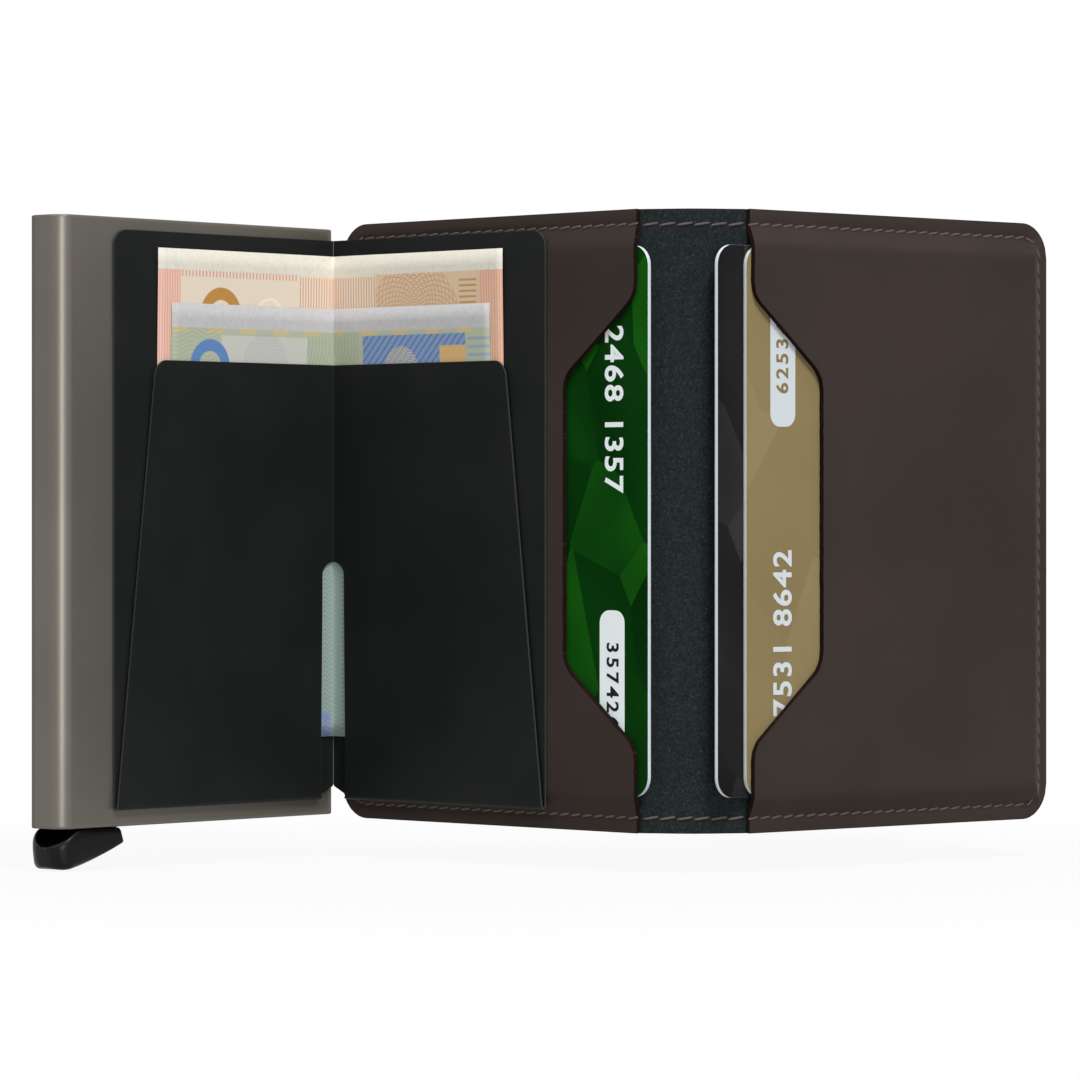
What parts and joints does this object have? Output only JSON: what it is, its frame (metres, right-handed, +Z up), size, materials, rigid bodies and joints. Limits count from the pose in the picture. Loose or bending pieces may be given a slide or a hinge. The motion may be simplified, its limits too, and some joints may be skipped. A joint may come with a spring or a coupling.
{
  "type": "minimalist wallet",
  "caption": "Slim bifold wallet: leather cover with card pockets around an aluminium card holder with an eject lever and a folded banknote pocket.",
  "frame": {"origin": "centre of the standing wallet's box on the surface under the lever's nose, the wallet open in a zigzag", "axes": "+Z up along the folds, +X to the right along the spine, +Y away from the side that shows the pockets"},
  "size_m": [0.1626, 0.0578, 0.1033],
  "materials": {
    "aluminium": "satin anodised",
    "lever_plastic": "smooth moulded",
    "frame_plastic": "moulded",
    "pin_steel": "ground",
    "pad_felt": "felt",
    "film": "clear adhesive film",
    "pocket_plastic": "matt polypropylene",
    "large_note_paper": "printed note paper",
    "small_note_paper": "printed note paper",
    "leather": "smooth matt",
    "suede": "suede",
    "thread": "waxed thread",
    "green_print": "printed card",
    "black_print": "printed card",
    "gold_print": "printed card",
    "plain_card": "printed card"
  },
  "bodies": {
    "card_holder": {"holder_tube": "aluminium", "inner_frame": "frame_plastic", "lever_pin": "pin_steel", "friction_pad_front": "pad_felt", "friction_pad_back": "pad_felt", "adhesive_film_left": "film", "money_pocket_left": "pocket_plastic", "large_note_left": "large_note_paper", "small_note_left": "small_note_paper"},
    "left_cover": {"outer_leather_left": "leather", "lining_left": "suede", "pocket_leather_left": "leather", "stitches_left": "thread", "adhesive_film_right": "film", "money_pocket_right": "pocket_plastic", "large_note_right": "large_note_paper", "small_note_right": "small_note_paper", "cover_bend_left": "leather"},
    "spine": {"outer_leather_spine": "leather", "lining_spine": "suede", "stitches_spine": "thread", "cover_bend_right": "leather"},
    "right_cover": {"outer_leather_right": "leather", "lining_right": "suede", "pocket_leather_right": "leather", "stitches_right": "thread"},
    "lever": {"eject_lever": "lever_plastic"},
    "green_card_body": {"green_card": "green_print"},
    "black_card_body": {"black_card": "black_print"},
    "gold_card_body": {"gold_card": "gold_print"},
    "holder_card_1_body": {"holder_card_1": "plain_card"},
    "holder_card_2_body": {"holder_card_2": "plain_card"},
    "holder_card_3_body": {"holder_card_3": "plain_card"},
    "holder_card_4_body": {"holder_card_4": "plain_card"}
  },
  "joints": [
    {"name": "pocket_fold", "type": "hinge", "parent": "card_holder", "child": "left_cover", "pos_m": [-0.0354, 0.02361, 0], "axis": [0, 0, 1], "range_deg": [-83.1, 82.1], "deforming": ["money_pocket_left", "money_pocket_right", "large_note_left", "large_note_right", "small_note_left", "small_note_right"]},
    {"name": "left_bend", "type": "hinge", "parent": "left_cover", "child": "spine", "pos_m": [0.01431, -0.02374, 0], "axis": [0, 0, 1], "range_deg": [-135.2, 30], "deforming": ["cover_bend_left"]},
    {"name": "right_bend", "type": "hinge", "parent": "spine", "child": "right_cover", "pos_m": [0.03019, -0.02374, 0], "axis": [0, 0, 1], "range_deg": [-131.65, 5], "deforming": ["cover_bend_right"]},
    {"name": "lever_turn", "type": "hinge", "parent": "card_holder", "child": "lever", "pos_m": [-0.06924, -0.0091, 0.00925], "axis": [0.7536, -0.6574, 0], "range_deg": [0, 38]},
    {"name": "holder_card_1_lift", "type": "slide", "parent": "card_holder", "child": "holder_card_1_body", "axis": [0, 0, 1], "range_m": [0, 0.00938]},
    {"name": "holder_card_2_lift", "type": "slide", "parent": "card_holder", "child": "holder_card_2_body", "axis": [0, 0, 1], "range_m": [0, 0.01337]},
    {"name": "holder_card_3_lift", "type": "slide", "parent": "card_holder", "child": "holder_card_3_body", "axis": [0, 0, 1], "range_m": [0, 0.01734]},
    {"name": "holder_card_4_lift", "type": "slide", "parent": "card_holder", "child": "holder_card_4_body", "axis": [0, 0, 1], "range_m": [0, 0.02132]},
    {"name": "green_card_slide", "type": "slide", "parent": "left_cover", "child": "green_card_body", "axis": [0.7046, -0.7096, 0], "range_m": [-0.00443, 0.00106]},
    {"name": "black_card_slide", "type": "slide", "parent": "right_cover", "child": "black_card_body", "axis": [0.7472, 0.6646, 0], "range_m": [-0.00067, 0.01517]},
    {"name": "gold_card_slide", "type": "slide", "parent": "right_cover", "child": "gold_card_body", "axis": [0.7472, 0.6646, 0], "range_m": [-0.00016, 0.00181]}
  ],
  "couplings": [
    {"joint": "holder_card_1_lift", "follows": "lever_turn", "m_per_rad": 0.014},
    {"joint": "holder_card_2_lift", "follows": "lever_turn", "m_per_rad": 0.02},
    {"joint": "holder_card_3_lift", "follows": "lever_turn", "m_per_rad": 0.026},
    {"joint": "holder_card_4_lift", "follows": "lever_turn", "m_per_rad": 0.032},
    {"joint": "green_card_slide", "follows": "left_bend", "m_per_rad": 0.0018335},
    {"joint": "black_card_slide", "follows": "right_bend", "m_per_rad": -0.0065604},
    {"joint": "gold_card_slide", "follows": "right_bend", "m_per_rad": -0.0007448}
  ]
}
